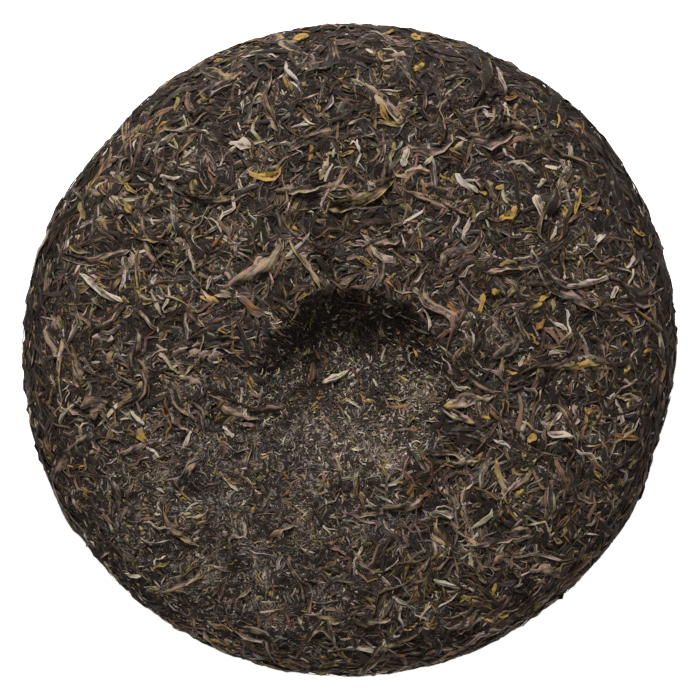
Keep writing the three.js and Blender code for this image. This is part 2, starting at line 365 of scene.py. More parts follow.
class CakeSurface:
    """The bare cake: places on it from places on its two faces spread flat."""

    def __init__(self, form):
        self.form = form
        radius, height = form.radius, form.height
        dome_slope = (DOME_RISE - LEAF_STAND) / (DOME_RADIUS - DOME_TURN_RADIUS)
        lower_turn = DOME_RISE + (radius - DOME_RADIUS) * dome_slope
        shoulder_slope = (SHOULDER_HEIGHT - UPPER_RIM_TURN) / (radius - SHOULDER_RADIUS)
        crest_turn = SHOULDER_RADIUS - (height - SHOULDER_HEIGHT) / shoulder_slope
        rest, shoulder = (form.rest_radius, LEAF_STAND), (SHOULDER_RADIUS, SHOULDER_HEIGHT)
        dome, rim, crest = (DOME_RADIUS, DOME_RISE), (radius, RIM_HEIGHT), (CREST_RADIUS, height)
        points = np.concatenate(
            [
                curve((0, LEAF_STAND), (form.rest_radius / 2, LEAF_STAND), rest),
                curve(rest, (DOME_TURN_RADIUS, LEAF_STAND), dome),
                curve(dome, (radius, lower_turn), rim),
                curve(rim, (radius, UPPER_RIM_TURN), shoulder),
                curve(shoulder, (crest_turn, height), crest),
                curve(crest, (CREST_RADIUS / 2, height), (0, height)),
            ]
        )
        steps = np.hypot(*np.diff(points, axis=0).T)
        self.arc = np.concatenate([[0], np.cumsum(steps)])
        self.section = points
        self.length = self.arc[-1]

    def outline_shift(self, angle):
        """How far out the outline stands: a two-lobed cosine plus a bell for each mark."""
        shift = self.form.radius * OVAL_SHARE * np.cos(2 * (angle - OVAL_ANGLE))
        for centre, width, depth in OUTLINE_MARKS:
            turn = angle - math.radians(centre)
            away = np.arctan2(np.sin(turn), np.cos(turn)) / math.radians(width)
            shift = shift + depth * np.exp(-away * away)
        return shift

    def swell(self, x, y):
        """Gentle waves: the mean of one sine for each length, each turned by a golden angle and shifted."""
        height = 0
        for i, length in enumerate(SWELL_LENGTHS):
            along = x * math.cos(i * GOLDEN_ANGLE) + y * math.sin(i * GOLDEN_ANGLE)
            height = height + np.sin(2 * math.pi * along / length + 1.7 * i)
        return SWELL_HEIGHT * height / len(SWELL_LENGTHS)

    def dimple_depth(self, x, y):
        """Depth of the dimple: one minus the share of the way from its deepest point to its mouth, which
        is raised to a power that grows from the gentle wall to the steep one."""
        form = self.form
        dx, dy = x - form.dimple_x, y - form.dimple_y - DIMPLE_SHIFT
        away = np.maximum(np.hypot(dx, dy), 1e-9)
        up = dy / away
        across = DIMPLE_SHIFT * up
        reach = np.sqrt(across**2 + form.dimple_radius**2 - DIMPLE_SHIFT**2) - across
        power = between((DIMPLE_GENTLE, DIMPLE_STEEP), (1 + up) / 2)
        inside = np.clip(1 - np.minimum(away / reach, 1) ** power, 0, 1)
        return form.dimple_depth * inside**DIMPLE_LIP

    def from_dimple(self, x, y):
        """Shares of the mouth's radius to the right of and beyond the dimple's middle."""
        form = self.form
        return (x - form.dimple_x) / form.dimple_radius, (y - form.dimple_y) / form.dimple_radius

    def settle(self, radius, height, angle):
        """A place of the plain half section moved to where it is on the real cake."""
        form = self.form
        rim_share = (radius / form.radius) ** 4
        r = radius + self.outline_shift(angle) * rim_share
        x, y = r * np.cos(angle), r * np.sin(angle)
        back = height > RIM_HEIGHT
        blend = np.clip((radius - form.rest_radius) / SWELL_FADE, 0, 1)
        rest_share = blend * blend * (3 - 2 * blend)
        wave = self.swell(x, y) * (1 - rim_share) * np.where(back, 1, rest_share)
        z = height + np.where(back, wave - self.dimple_depth(x, y), -wave)
        return np.stack([x, y, z], axis=-1)

    def on_face(self, face, x, y):
        """A face spread flat: distance from the middle is distance along the half section."""
        along = np.minimum(np.hypot(x, y), self.length)
        along = self.length - along if face == "back" else along
        radius = np.interp(along, self.arc, self.section[:, 0])
        height = np.interp(along, self.arc, self.section[:, 1])
        return self.settle(radius, height, np.arctan2(y, x))

    def outward(self, face, x, y):
        """Unit normal: the cross product of two short steps along the surface."""
        step = NORMAL_STEP
        ex = self.on_face(face, x + step, y) - self.on_face(face, x - step, y)
        ey = self.on_face(face, x, y + step) - self.on_face(face, x, y - step)
        return unit(np.cross(ex, ey)) * (1 if face == "back" else -1)

    def stretch(self, face, x, y, heading):
        """How much longer a short step along a heading is on the cake than on the face spread flat."""
        dx, dy = STRETCH_STEP * np.cos(heading), STRETCH_STEP * np.sin(heading)
        step = self.on_face(face, x + dx, y + dy) - self.on_face(face, x - dx, y - dy)
        return np.linalg.norm(step, axis=-1) / (2 * STRETCH_STEP)

    def rim_share(self, x, y):
        """From 0 on a face to 1 at the rim: a straight climb by the distance from the middle."""
        return np.clip((np.hypot(x, y) / (self.length / 2) - RIM_START) / RIM_SPAN, 0, 1)

    def matted(self, x, y):
        """How finely matted the back is, from 0 to 1: the dimple's floor and walls, and the finer patch."""
        away = np.hypot(*self.from_dimple(x, y))
        return np.maximum(np.clip((1 - away) / MOUTH_FADE, 0, 1), FINE_MATTING * finely_broken(x, y))

    def spread(self, x, y):
        """The place on the back spread flat that is seen at x, y from above."""
        back = self.section[:, 1] > RIM_HEIGHT
        radii, arcs = self.section[back, 0][::-1], (self.length - self.arc[back])[::-1]
        radius = math.hypot(x, y)
        scale = np.interp(radius, radii, arcs) / max(radius, MM)
        return x * scale, y * scale


def curve(start, turn, end):
    """A quadratic curve: the square-weighted mix of its start, turning point and end. Its start is left
    out, as the end of the curve before, apart from the first curve's in the middle of the front."""
    first = 0 if start[0] == 0 else 1
    t = np.linspace(0, 1, SECTION_STEPS)[first:, None]
    return (1 - t) ** 2 * np.array(start) + 2 * t * (1 - t) * np.array(turn) + t * t * np.array(end)


def unit(vectors):
    """Vectors divided by their lengths."""
    return vectors / np.maximum(np.linalg.norm(vectors, axis=-1, keepdims=True), 1e-12)


def between(bounds, share):
    """The value at a share of the way from one bound to the other."""
    return bounds[0] + (bounds[1] - bounds[0]) * share


def weighted(weights, *values):
    """The sum of values, each times its weight."""
    return sum(weight * value for weight, value in zip(weights, values))


def column(values, axes=1):
    """A row of values for each leaf, with further axes of length one to meet a leaf's own grid."""
    return np.reshape(values, (len(values),) + (1,) * axes)


def ripple(x, y, length, draw, waves=14):
    """Smooth bumps about 0, of about one length: a sum of plane waves with drawn directions and phases."""
    heading = draw.uniform(0, 2 * math.pi, waves)
    phase = draw.uniform(0, 2 * math.pi, waves)
    number = 2 * math.pi / (length * draw.uniform(0.7, 1.5, waves))
    total = 0
    for h, p, n in zip(heading, phase, number):
        total = total + np.sin((x * math.cos(h) + y * math.sin(h)) * n + p)
    return total * math.sqrt(2 / waves)


class Leaves(NamedTuple):
    """Leaves of one kind on one face, as arrays with a row for each leaf. Lengths are in metres."""

    face: str
    x: np.ndarray
    y: np.ndarray
    heading: np.ndarray
    length: np.ndarray
    width: np.ndarray
    thickness: np.ndarray
    bend: np.ndarray
    lift: np.ndarray
    tone: np.ndarray
    warmth: np.ndarray

    def only(self, kept):
        """The leaves that a mask keeps."""
        return Leaves(self.face, *(values[kept] for values in self[1:]))


class LeafKind(NamedTuple):
    """Ranges that leaves of one kind are drawn from; lengths in metres, thickness a share of the width. A
    flat kind's sides are the points across each of its two faces."""

    length: tuple
    width: tuple
    thickness: tuple
    bend: float
    lift: tuple
    tone: tuple
    dip: float
    twist: float
    rings: int
    sides: int


LONG_ROLLED = LeafKind(
    length=(9 * MM, 21 * MM), width=(1.1 * MM, 2.6 * MM), thickness=(0.28, 0.55), bend=1.3,
    lift=(-0.45 * MM, 0.3 * MM), tone=(-0.1, 0.6), dip=0.8 * MM, twist=8, rings=8, sides=6,
)
SHORT_ROLLED = LeafKind(
    length=(5 * MM, 16 * MM), width=(0.6 * MM, 1.7 * MM), thickness=(0.3, 0.6), bend=1.4,
    lift=(-0.4 * MM, 0.4 * MM), tone=(0.0, 0.7), dip=0.6 * MM, twist=5, rings=5, sides=5,
)
GREY = LeafKind(
    length=(4.5 * MM, 17 * MM), width=(0.6 * MM, 2.1 * MM), thickness=(0.3, 0.6), bend=1.4,
    lift=(-0.3 * MM, 0.45 * MM), tone=(-0.1, 0.5), dip=0.7 * MM, twist=5, rings=5, sides=5,
)
BROAD = LeafKind(
    length=(7 * MM, 18 * MM), width=(2.2 * MM, 4.6 * MM), thickness=(0.05, 0.08), bend=1.2,
    lift=(-0.35 * MM, 0.2 * MM), tone=(-0.1, 0.6), dip=0.7 * MM, twist=0.9, rings=12, sides=6,
)
BUD = LeafKind(
    length=(2.4 * MM, 10 * MM), width=(0.6 * MM, 1.7 * MM), thickness=(0.4, 0.7), bend=1.2,
    lift=(0.0 * MM, 0.5 * MM), tone=(-0.2, 0.9), dip=0.6 * MM, twist=2.5, rings=6, sides=6,
)
FLAKE = LeafKind(
    length=(1.5 * MM, 6.5 * MM), width=(0.5 * MM, 2.2 * MM), thickness=(0.10, 0.2), bend=1.2,
    lift=(0.0 * MM, 0.5 * MM), tone=(0.0, 1.0), dip=0.5 * MM, twist=1.4, rings=5, sides=3,
)
STEM = LeafKind(
    length=(3 * MM, 12 * MM), width=(0.4 * MM, 1.3 * MM), thickness=(0.3, 0.6), bend=0.7,
    lift=(-0.1 * MM, 0.5 * MM), tone=(0.0, 1.0), dip=0.5 * MM, twist=1.5, rings=4, sides=5,
)
SHRED = LeafKind(
    length=(2.5 * MM, 11.0 * MM), width=(0.35 * MM, 1.3 * MM), thickness=(0.2, 0.45), bend=1.6,
    lift=(-0.25 * MM, 0.4 * MM), tone=(0.0, 0.65), dip=0.5 * MM, twist=3, rings=4, sides=3,
)
FINE = LeafKind(
    length=(0.7 * MM, 3.6 * MM), width=(0.25 * MM, 0.9 * MM), thickness=(0.3, 0.6), bend=1.4,
    lift=(-0.2 * MM, 0.2 * MM), tone=(0.05, 0.65), dip=0.25 * MM, twist=3, rings=3, sides=3,
)
CRUMB = LeafKind(
    length=(0.5 * MM, 1.9 * MM), width=(0.3 * MM, 0.8 * MM), thickness=(0.4, 0.8), bend=0.3,
    lift=(-0.15 * MM, 0.3 * MM), tone=(0.05, 0.95), dip=0.1 * MM, twist=1, rings=2, sides=4,
)

# Leaves that catch the eye on the back, one row each: place x, y in millimetres as seen from above, heading
# in degrees from +X, length and width in millimetres, bend in radians, and tone from dark to light.
EYE_CATCHING = {
    "buds": (
        (-73, 17.5, -34, 16, 2.3, 0.4, 0.8), (67.7, 18.7, 9, 19, 2.4, 1.2, 0.85),
        (-32, 60, -12, 7, 2.4, -0.5, 0.9), (-34.8, 41, 61, 9.5, 1.3, 0.5, 0.85),
        (-46, 26, -75, 7.4, 1.4, 0.4, 0.6), (55, 41.3, -65, 8, 3.2, 0.3, 1.0),
        (55.5, 48.3, 40, 3.8, 2.4, 0, 0.7), (71.6, 31.5, 50, 7.5, 2.4, -0.8, 0.6),
        (76.9, 16.8, 55, 4.5, 1.6, 0, 0.85), (33.6, 48.1, -38, 9, 2.1, 0.5, 1.0),
        (23.3, 56.7, 80, 7, 1.4, 0.4, 0.75), (16, 56.1, 75, 6, 2.1, 0.2, 0.6),
        (33.3, 34.7, -100, 8.5, 1.5, 1.0, 0.7), (44.6, 79, -75, 9.5, 2.2, -0.7, 0.55),
        (49.9, 26.7, 8, 5.5, 1.1, 0, 0.8), (61.5, -24.9, -8, 8, 2.2, 0.3, 0.95),
        (60.3, -20.2, 48, 6, 1.2, 0.2, 0.6), (27, -48.1, -8, 8, 2.4, 0.4, 0.45),
        (28.2, -68.3, -15, 8.5, 1.8, 0.4, 0.8), (-4, -8.2, 25, 9.5, 2.4, 0.3, 0.8),
        (23, 9, -75, 7, 1.0, -1.2, 0.75), (-62, -20, -45, 6, 1.8, 0.5, 0.9),
        (-35.4, -23.8, -45, 4.6, 1.6, 0.2, 0.95), (-30, -21.5, -5, 4.4, 1.5, 0.1, 0.9),
        (-56, -51, -15, 9, 0.8, -0.9, 0.6), (-57, -56, -5, 9, 0.8, 1.1, 0.55),
        (-63.5, -66, -10, 5.4, 1.2, 0.2, 0.85), (-42, 16, -50, 5, 1.3, 0.2, 0.9),
        (-41, 19.5, 73, 4.4, 1.2, 0.1, 0.85), (2.4, 77.8, -30, 5, 2.3, 0.2, 0.6),
        (49.9, -3.3, 65, 3.6, 1.6, 0, 0.9), (37.7, -56.7, 8, 9, 2.0, 0.3, 0.35),
        (55.2, -60, -5, 16.5, 1.4, -0.6, 0.3),
    ),
    "flakes": (
        (-24.6, 50.0, 4, 11, 2.4, 2.3, 0.95), (56.7, 15.4, 35, 4.4, 1.7, 0.4, 1.0),
        (38.3, 13.4, 75, 6.5, 2, 0.3, 0.85), (42.5, 16.6, 20, 3.2, 2.5, 0, 0.7),
        (38.3, 45.7, -20, 2.8, 1.8, 0, 1.0), (46, 39.2, 40, 7, 3.2, 0.4, 0.7),
        (20.2, 82.9, 30, 4, 2, 0.3, 0.8), (19.5, 92.4, 10, 3, 2.4, 0, 0.6),
        (9.8, 69.2, -65, 6, 2.1, 0.3, 0.6), (66.2, 43.1, 80, 8, 1.3, 0.2, 0.7),
        (84.3, 34.2, -30, 5.5, 1.2, 1.2, 0.8), (66.8, -4.8, 2, 12.5, 3.4, 0.3, 0.3),
        (52.9, -25.8, 40, 3.6, 2, 0, 0.8), (49.3, -41.9, 50, 3.6, 2.5, 0, 0.75),
        (45.4, -77.8, 20, 3.6, 3, 0, 0.6), (42.2, -70.1, 75, 4.2, 1.2, 0, 0.9),
        (-60.5, -24.7, -60, 4.6, 2.8, 0.2, 0.85), (-55.6, 65.6, 35, 5.5, 1.2, 0.5, 0.8),
        (-66, 42.5, -45, 6.5, 1.6, 0.3, 0.4), (-44, -66.3, 42, 6.5, 1.3, 0.2, 0.75),
        (19.6, -0.6, -60, 3.4, 1.3, 0, 0.9), (60.6, 66.5, 85, 4.8, 0.9, 0.6, 0.9),
        (-14.5, 92.5, 15, 5, 2.6, 0.6, 0.75), (-79, 41, -70, 6, 2.4, 0.4, 0.45),
    ),
    "stems": (
        (-38.5, 32, 49, 5.4, 1.6, 0.1, 0.75), (34.7, 57.6, 72, 12, 0.9, 0.1, 0.6),
        (46.9, 73.4, 10, 4.2, 1.8, 0.3, 0.5), (80.5, 9.2, -38, 7, 1.5, 0.1, 0.95),
        (87.3, 8.6, -35, 12, 1.0, 0.2, 0.4), (55.5, 7.4, 50, 4.5, 2.2, 0, 0.6),
        (78.4, 32.1, -5, 10, 1.5, 0.1, 0.6), (81.4, -25.7, -10, 9.5, 1.8, 0.2, 0.6),
        (46.9, -47.5, -52, 6, 1.1, 0.1, 0.75), (39.8, -41.6, -28, 9, 1.0, 0.2, 0.55),
        (17.4, -40.7, 60, 3, 1.7, 0, 0.65), (21.9, -42.2, 30, 4, 1.5, 0, 0.45),
        (18.1, -60.3, 27, 10.5, 1.1, 0, 0.6),
        (47.2, -62.1, 85, 4.5, 0.9, 0, 0.9), (65.9, -48.1, 47, 12, 0.9, 0.6, 0.7),
        (13.4, -89.1, -28, 7, 1.2, 0.4, 0.8), (38, -27.6, 52, 5.2, 1.3, 0, 0.45),
        (76.3, -15.4, 60, 4.5, 1.3, 0, 0.4), (-11.2, -6.9, 80, 7.3, 2.2, 0.1, 0.15),
        (-10, -1, -55, 4.6, 1.3, 0.3, 0.75), (2.7, 14, -8, 13, 0.8, 0.2, 0.3),
        (-49, -41, -50, 9, 0.7, 0.2, 0.7), (-37.5, -16, 40, 3.5, 1.8, 0, 0.4),
        (-28.8, 12.8, -35, 9.5, 3.4, 0.3, 0.7), (30, 12, -40, 5, 2.0, 0.2, 0.5),
    ),
    "broad": (
        (-27.5, 22, 40, 27, 5.6, 0.9, 0.75), (-13, 25, -56, 17.5, 1.8, -0.1, 1.0),
        (34.7, -14.9, 12, 15, 3.8, 0.3, 0.85), (32.4, -19.3, -30, 9, 2.2, 0.2, 0.8),
        (44, -38.3, -72, 14, 3.0, 0.2, 0.85), (32.7, -32.8, 8, 9, 3.4, 0.3, 0.6),
        (18.1, 51.7, 5, 10.5, 3, 0.2, 0.95), (44, -3.9, 88, 9, 1.8, 0.1, 0.85),
        (4, 44, 24, 22, 5, 0.6, 0.25), (-14, 47, 8, 16, 4, 0.3, 0.1),
        (56, -66, -4, 17, 4.2, 0.2, 0.3), (82, -14, -5, 8, 2.2, 0.2, 0.7),
    ),
}

# How warm the leaves that catch the eye are, out of 1, give or take a little, and how far they lift. Their
# ends dip by a share of their kind's dip. Leaves sway from an arc by a share of their length, and some turns.
CHOSEN_WARMTH = {"buds": 0.45, "flakes": 0.95, "stems": 0.9, "broad": 0.6}
WARMTH_SPREAD = 0.2
CHOSEN_LIFT = 0.65 * MM
CHOSEN_DIP = 0.35
CHOSEN_SWAY = 0.035
SWAY = 0.065
SWAY_TURNS = 1.3


def scatter_places(count, disc, draw):
    """Places spread evenly over a disc: a sunflower spiral, each place moved by up to its spacing."""
    (middle_x, middle_y), radius = disc
    k = np.arange(count)
    reach = radius * np.sqrt((k + 0.5) / max(count, 1))
    spacing = radius * math.sqrt(math.pi / max(count, 1))
    x = middle_x + reach * np.cos(k * GOLDEN_ANGLE) + draw.uniform(-spacing, spacing, count)
    y = middle_y + reach * np.sin(k * GOLDEN_ANGLE) + draw.uniform(-spacing, spacing, count)
    return x, y


def lay_headings(x, y, count, surface, draw):
    """Headings: some follow a slow drift over the face, the rest are free, and near the rim more and more
    of them turn along it."""
    ripples = ripple(x, y, DRIFT_LENGTH, np.random.default_rng(FIRST_DRAW), waves=6)
    drift = 2 * math.pi * ripples * DRIFT_SWING
    free = draw.uniform(0, 2 * math.pi, count)
    bundled = draw.random(count) < BUNDLED_SHARE
    heading = np.where(bundled, drift + draw.normal(0, BUNDLED_SPREAD, count), free)
    distance = np.hypot(x, y) / (surface.length / 2)
    by_rim = draw.random(count) < np.clip((distance - ALONG_RIM_START) / ALONG_RIM_SPAN, 0, 1)
    along_rim = np.arctan2(y, x) + math.pi / 2 + draw.normal(0, ALONG_RIM_SPREAD, count)
    return np.where(by_rim, along_rim, heading)


def shade_of(face, x, y, surface):
    """The tone's change over a face: weighted sums of the place, of its square and of their products, less
    a bell for the darker band near +Y, with drawn patches, and less painted shade where the rim curves
    down. On the back the patch of finer leaf is paler, and the dimple darker with painted shadow, most of
    all under its steep wall."""
    u, v = x / (surface.length / 2), y / (surface.length / 2)
    slope = weighted(FACE_TONE, 1, v * v, u)
    band = BAND["depth"] * np.exp(-(((v - BAND["place"]) / BAND["width"]) ** 2))
    patches = PATCH_TONE * ripple(x, y, PATCH_LENGTH, np.random.default_rng(PATCH_DRAW), waves=8)
    # Painted shade: the rim is darker where it curves down.
    rim = surface.rim_share(x, y) * weighted(RIM_PAINTED_SHADE, 1, u * u, u * v, u, v)
    tone = slope - band + patches - rim
    if face == "front":
        return tone
    right, beyond = surface.from_dimple(x, y)
    inside = np.hypot(right, beyond) < 1
    # Painted shadow: the dimple is darker, most of all under its steep wall.
    return tone + FINE_TONE * finely_broken(x, y) - inside * weighted(DIMPLE_PAINTED_SHADOW, 1, right, beyond)


def finely_broken(x, y):
    """How finely the leaf is broken, from 0 to 1: a bell with a flat top over the patch of finer leaf."""
    return np.exp(-((np.hypot(x - FINE_PATCH["x"], y - FINE_PATCH["y"]) / FINE_PATCH["radius"]) ** 3))


def heap(x, y):
    """Height of the small heaps that leaves and bed share."""
    return HEAP_HEIGHT * ripple(x, y, HEAP_LENGTH, np.random.default_rng(HEAP_DRAW), waves=8)


def drawn_tone(kind, count, draw):
    """Tones of a kind: dark ones are commoner, and a few leaves are much paler than the rest."""
    tone = between(kind.tone, draw.random(count) ** DARK_POWER)
    return tone + np.where(draw.random(count) < PALE_SHARE, PALE_TONE, 0)


def draw_leaves(surface, face, kind, count, draw, disc=None, clear=0):
    """Leaves of a kind spread over a face or a disc of it. On the back, those nearer to the dimple's middle
    than a share of its radius are left out. Short leaves are commoner than long ones, and a leaf's width
    goes half by its length and half by a draw."""
    x, y = scatter_places(count, disc or ((0, 0), surface.length / 2), draw)
    fine = finely_broken(x, y) if face == "back" else 0
    heading = lay_headings(x, y, count, surface, draw)
    size = draw.random(count) ** SHORT_POWER
    width = between(kind.width, 0.5 * size + 0.5 * draw.random(count)) * (1 - FINE_THINNER * fine)
    leaves = Leaves(
        face=face, x=x, y=y, heading=heading,
        length=between(kind.length, size) * (1 - FINE_SHORTER * fine), width=width,
        thickness=width * draw.uniform(*kind.thickness, count),
        bend=kind.bend * draw.normal(0, 0.5, count),
        lift=draw.uniform(*kind.lift, count) - FINE_SINK * fine * np.minimum(width / MM, 2),
        tone=drawn_tone(kind, count, draw) + shade_of(face, x, y, surface),
        warmth=draw.random(count),
    )
    return leaves.only((face == "front") | (np.hypot(*surface.from_dimple(x, y)) >= clear))


def eye_catching(surface, name, kind, draw):
    """The leaves of EYE_CATCHING under a name, on the back spread flat."""
    rows = np.array(EYE_CATCHING[name], float)
    places = np.array([surface.spread(x, y) for x, y in rows[:, :2] * MM])
    width = rows[:, 4] * MM
    count = len(rows)
    thickness = width * draw.uniform(*kind.thickness, count)
    warmth = CHOSEN_WARMTH[name] + draw.uniform(-WARMTH_SPREAD, WARMTH_SPREAD, count)
    return Leaves(
        face="back", x=places[:, 0], y=places[:, 1], heading=np.radians(rows[:, 2]),
        length=rows[:, 3] * MM, width=width, thickness=thickness, bend=rows[:, 5],
        lift=np.full(count, CHOSEN_LIFT), tone=rows[:, 6], warmth=warmth,
    )


def ring_places(rings):
    """Places along a leaf from -0.5 to 0.5: its two tips, and rings between them that crowd to the tips,
    halfway between even steps and those of a cosine."""
    even = np.arange(rings + 2) / (rings + 1)
    return -0.25 * np.cos(math.pi * even) + 0.5 * even - 0.25


class Path(NamedTuple):
    """A leaf's centreline: places, unit vectors across and up from the leaf, and the shares along it. Room
    is the share of its rise that the leaf keeps, less by the rim."""

    centre: np.ndarray
    across: np.ndarray
    up: np.ndarray
    t: np.ndarray
    room: np.ndarray


def lay_path(surface, leaves, rings, dip, draw, sway=SWAY):
    """Centrelines on the cake. In the face spread flat a leaf is an arc with a slow sway, and its height
    is its lift, less a dip at both ends that grows with the square of the way there, plus a small tilt.
    On steep ground the arc is shorter, so that the leaf keeps its length."""
    t = ring_places(rings)[None, :]
    count = len(leaves.x)
    sway = column(sway * leaves.length * draw.normal(0, 1, count))
    sway = sway * np.sin(2 * math.pi * (SWAY_TURNS * t + column(draw.random(count))))
    chord = column(leaves.heading) + column(leaves.bend) * t / 2
    turn = column(leaves.heading) + column(leaves.bend) * t
    flat_length = column(leaves.length / surface.stretch(leaves.face, leaves.x, leaves.y, leaves.heading))
    x = column(leaves.x) + flat_length * t * np.cos(chord) - sway * np.sin(turn)
    y = column(leaves.y) + flat_length * t * np.sin(chord) + sway * np.cos(turn)
    normal = surface.outward(leaves.face, x, y)
    dips = column(dip * draw.uniform(0.1, 1, count))
    tilt = column(dip * draw.normal(0, 0.5, count))
    by_rim = surface.rim_share(x, y)
    height = column(leaves.lift) - dips * (2 * t) ** 2 + tilt * t
    height = height + (1 - by_rim) * heap(x, y) - RIM_PRESS * by_rim
    centre = surface.on_face(leaves.face, x, y) + normal * height[..., None]
    along = unit(np.gradient(centre, axis=1))
    across = unit(np.cross(normal, along))
    room = (1 - RIM_FLATTEN * by_rim)[:, 1:-1, None]
    return Path(centre, across, np.cross(along, across), t, room)


def taper(count, t, draw, ends):
    """Girth along leaves: one minus the share of the way to the tip raised to a drawn power, fuller
    towards one end, and a little uneven."""
    power = draw.uniform(*ends, (count, 1))
    skew = 1 + draw.normal(0, FULLER_END, (count, 1)) * t
    uneven = 1 + UNEVENNESS * draw.normal(0, 1, (count, t.shape[1]))
    return (1 - np.abs(2 * t) ** power) ** GIRTH_POWER * skew * uneven


def rolled_section(leaves, path, sides, twist, draw):
    """Offsets round a rolled leaf: a lobed ring that turns along the leaf, flattened to its thickness.
    Every other side is drawn in, and each point is moved in or out a little. Its tone follows the lobes
    as painted light: a painted highlight on the ridges and painted shade in the grooves."""
    count, t = len(leaves.x), path.t[:, 1:-1]
    girth = taper(count, t, draw, ROLLED_ENDS)
    j = np.arange(sides)
    lobe = np.where(j % 2 == 0, 1, GROOVE) * draw.uniform(0.7, 1.15, (count, sides))
    turn = draw.uniform(0, 2 * math.pi, (count, 1)) + twist * draw.normal(0, 0.5, (count, 1)) * t
    angle = turn[..., None] + (2 * math.pi * j / sides)[None, None, :]
    lobe = lobe[:, None, :] * draw.uniform(0.7, 1.3, (count, t.shape[1], sides))
    aside = girth[..., None] * lobe * np.cos(angle) * column(leaves.width / 2, 2)
    rise = girth[..., None] * lobe * np.sin(angle) * column(leaves.thickness / 2, 2)
    # Painted highlight on the ridges and painted shade in the grooves.
    return aside, rise, RIDGE_PAINTED_LIGHT * (lobe - MIDWAY)


def blade_section(leaves, path, half_sides, twist, draw):
    """Offsets round a flat leaf: places across its upper face and back across its lower one.
    Each face is a fold along the midrib plus drawn waves, and the whole turns slowly along the leaf.
    Its tone is painted light: a painted highlight at the edges and on the waves' crests, and painted
    shade in their troughs."""
    count, t = len(leaves.x), path.t[:, 1:-1]
    girth = taper(count, t, draw, FLAT_ENDS)
    v = np.linspace(1, -1, half_sides)
    v = np.concatenate([v, v[::-1]])
    skin = np.concatenate([np.ones(half_sides), -np.ones(half_sides)])
    half = column(leaves.width * draw.uniform(0.7, 1, count) / 2, 2) * girth[..., None]
    folded = column(FOLD * draw.uniform(-1.2, 1.2, count), 2) * np.abs(v)
    folded = folded + column(FOLD * draw.uniform(-0.6, 0.6, count), 2) * v * v
    phase = column(draw.uniform(0, 2 * math.pi, count), 2)
    wave = np.sin(column(draw.uniform(*SLOW_WAVES, count), 2) * t[..., None] + 2.3 * v + phase)
    quick = np.sin(column(draw.uniform(*QUICK_WAVES, count), 2) * t[..., None] - 3.1 * v + 2 * phase)
    wave = wave + QUICK_SHARE * quick
    edge = between((THIN_EDGE, 1), np.sqrt(np.maximum(1 - v * v, 0)))
    ragged = draw.uniform(0.78, 1.12, (count, t.shape[1], half_sides))
    aside = half * v * np.concatenate([ragged, ragged[..., ::-1]], axis=-1)
    rise = half * folded + CRUMPLE * half * wave + column(leaves.thickness, 2) * skin * edge / 2
    turn = draw.normal(0, 0.25, (count, 1)) + twist * draw.normal(0, 0.5, (count, 1)) * t
    cos, sin = np.cos(turn)[..., None], np.sin(turn)[..., None]
    # Painted highlight at the edges and on the wave crests, painted shade in the troughs.
    tone = RIDGE_PAINTED_LIGHT * (0.6 * np.abs(v) ** 3 + 0.25 * wave)
    return aside * cos - rise * sin, (aside * sin + rise * cos) * path.room, tone


class Bundle(NamedTuple):
    """Leaves that share one pattern of faces: their points and tones, which hold painted highlights and
    painted shade as well, each leaf's warmth, length and girth, and how many rings and sides they have."""

    points: np.ndarray
    tone: np.ndarray
    warmth: np.ndarray
    length: np.ndarray
    girth: np.ndarray
    rings: int
    sides: int


def sweep(path, section, leaves, draw):
    """Points of closed leaves: the sections carried along the centreline, with its two ends as tips.
    A height under the squeeze becomes the squeeze divided by two less the height's share of it, so that
    nothing reaches the table or goes quite flat. A leaf's tone drifts from one end to the other."""
    aside, rise, tone = section
    rings = path.centre[:, 1:-1, None, :]
    across, up = path.across[:, 1:-1, None, :], path.up[:, 1:-1, None, :]
    body = rings + across * aside[..., None] + up * rise[..., None]
    count = len(body)
    points = np.concatenate([path.centre[:, :1], body.reshape(count, -1, 3), path.centre[:, -1:]], axis=1)
    height = points[..., 2]
    low = np.minimum(height, SQUEEZE)
    points[..., 2] = SQUEEZE / (2 - low / SQUEEZE) + height - low
    drift = leaves.tone[:, None] + draw.normal(0, TONE_DRIFT, (count, 1)) * path.t
    # The sections' painted highlights and shade join the leaf's tone here.
    body_tone = (drift[:, 1:-1, None] + tone).reshape(count, -1)
    tones = np.concatenate([drift[:, :1], body_tone, drift[:, -1:]], axis=1)
    girth = math.pi * (leaves.width + leaves.thickness) / 2
    return Bundle(points, tones, leaves.warmth, leaves.length, girth, aside.shape[1], aside.shape[2])


